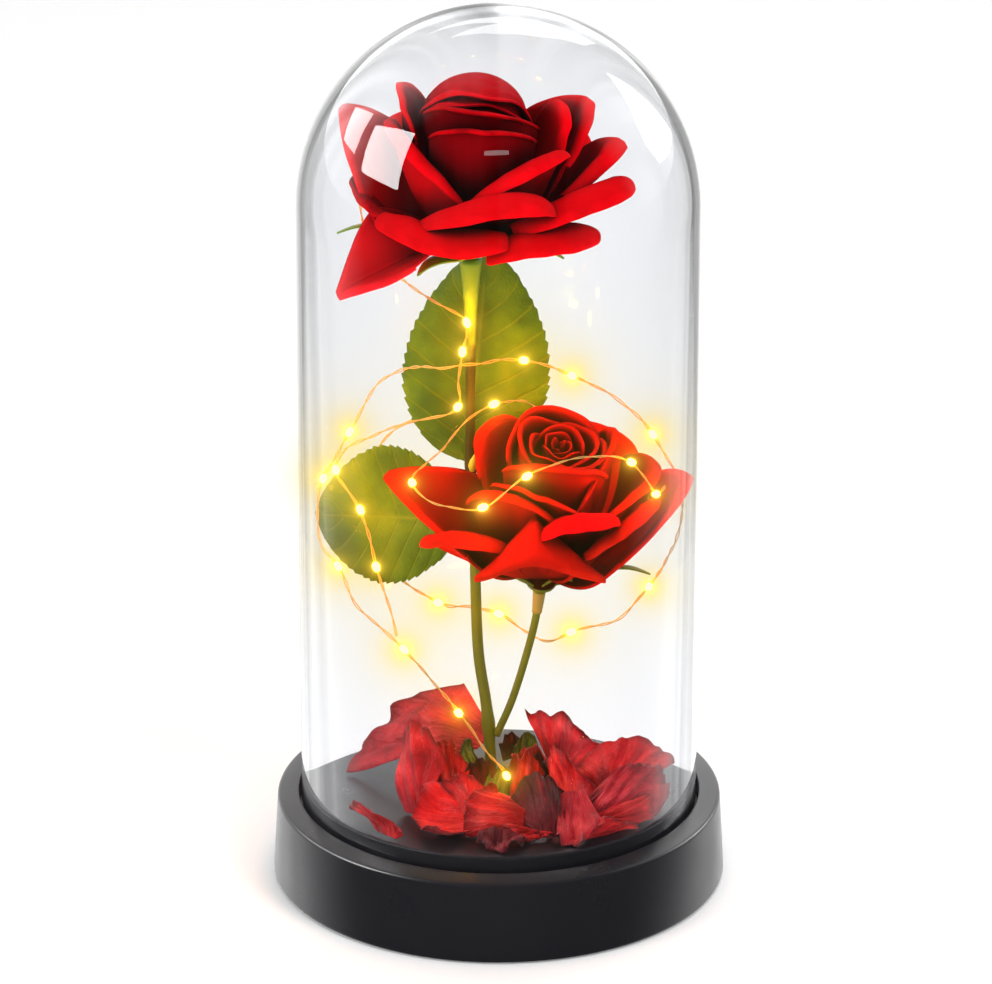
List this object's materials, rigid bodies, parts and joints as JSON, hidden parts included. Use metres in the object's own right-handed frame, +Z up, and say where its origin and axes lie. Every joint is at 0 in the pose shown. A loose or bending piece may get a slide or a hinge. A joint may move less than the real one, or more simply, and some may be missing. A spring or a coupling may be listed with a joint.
{
  "type": "preserved rose in glass dome",
  "caption": "Preserved velvet roses on a forked stem with leaves, fallen petals and a fairy-light string under a clear bell on a round base.",
  "frame": {"origin": "centre of the base's underside", "axes": "+Z up along the dome's axis, the flowers' front faces -Y, +X to the viewer's right"},
  "size_m": [0.1144, 0.1144, 0.2302],
  "materials": {
    "base_plastic": "satin black moulding",
    "cover_plastic": "matte black moulding",
    "dome_glass": "clear blown glass",
    "velvet_upper": "deep red flocked velvet",
    "velvet_lower": "warm red flocked velvet",
    "petal_fallen": "thin dusty red petal",
    "petal_dried": "dried dark maroon petal",
    "stem_green": "moulded green stem",
    "leaf_green": "printed leaf cloth",
    "bud_green": "pale green bud",
    "string_wire": "bare copper wire",
    "string_lamp": "clear resin droplet over a warm lamp"
  },
  "bodies": {
    "root": {"base": "base_plastic", "battery_cover": "cover_plastic", "glass_dome": "dome_glass", "stem_main": "stem_green", "stem_branch": "stem_green", "string_end_lamp": "string_lamp", "light_string_outer": "string_wire", "light_string_inner": "string_wire", "light_string_front": "string_wire", "rose_upper_bud": "velvet_upper", "rose_lower_bud": "velvet_lower", "rose_upper_bud_front": "velvet_upper", "rose_upper_bud_right": "velvet_upper", "rose_upper_left_tall": "velvet_upper", "rose_upper_front_upright": "velvet_upper", "rose_upper_left_strip": "velvet_upper", "rose_upper_right_front": "velvet_upper", "rose_upper_right_upper": "velvet_upper", "rose_upper_far_left": "velvet_upper", "rose_upper_left_low": "velvet_upper", "rose_upper_centre_roll": "velvet_upper", "rose_upper_right_side": "velvet_upper", "rose_upper_right_long": "velvet_upper", "rose_upper_front_left_roll": "velvet_upper", "rose_upper_right_low": "velvet_upper", "rose_upper_left_point": "velvet_upper", "rose_upper_back_right": "velvet_upper", "rose_upper_back_left": "velvet_upper", "rose_lower_bud_left": "velvet_lower", "rose_lower_bud_front": "velvet_lower", "rose_lower_right_tall": "velvet_lower", "rose_lower_front_second": "velvet_lower", "rose_lower_right_upper": "velvet_lower", "rose_lower_long_left": "velvet_lower", "rose_lower_front_cup": "velvet_lower", "rose_lower_right_pink": "velvet_lower", "rose_lower_right_roll": "velvet_lower", "rose_lower_front_left_roll": "velvet_lower", "rose_lower_far_right": "velvet_lower", "rose_lower_front_fold": "velvet_lower", "rose_lower_back_left": "velvet_lower", "rose_lower_back_right": "velvet_lower", "calyx_upper": "stem_green", "calyx_lower": "stem_green", "leaf_upper": "leaf_green", "leaf_left": "leaf_green", "leaf_bud": "bud_green", "fallen_back_left": "petal_fallen", "fallen_left": "petal_fallen", "fallen_centre_left": "petal_fallen", "fallen_front_left": "petal_fallen", "fallen_front": "petal_fallen", "fallen_dried_curl": "petal_dried", "fallen_front_right": "petal_fallen", "fallen_right": "petal_fallen", "fallen_right_back": "petal_fallen", "fallen_back_right": "petal_fallen", "fallen_centre_right": "petal_fallen", "fallen_near_glass": "petal_fallen"}
  },
  "joints": []
}
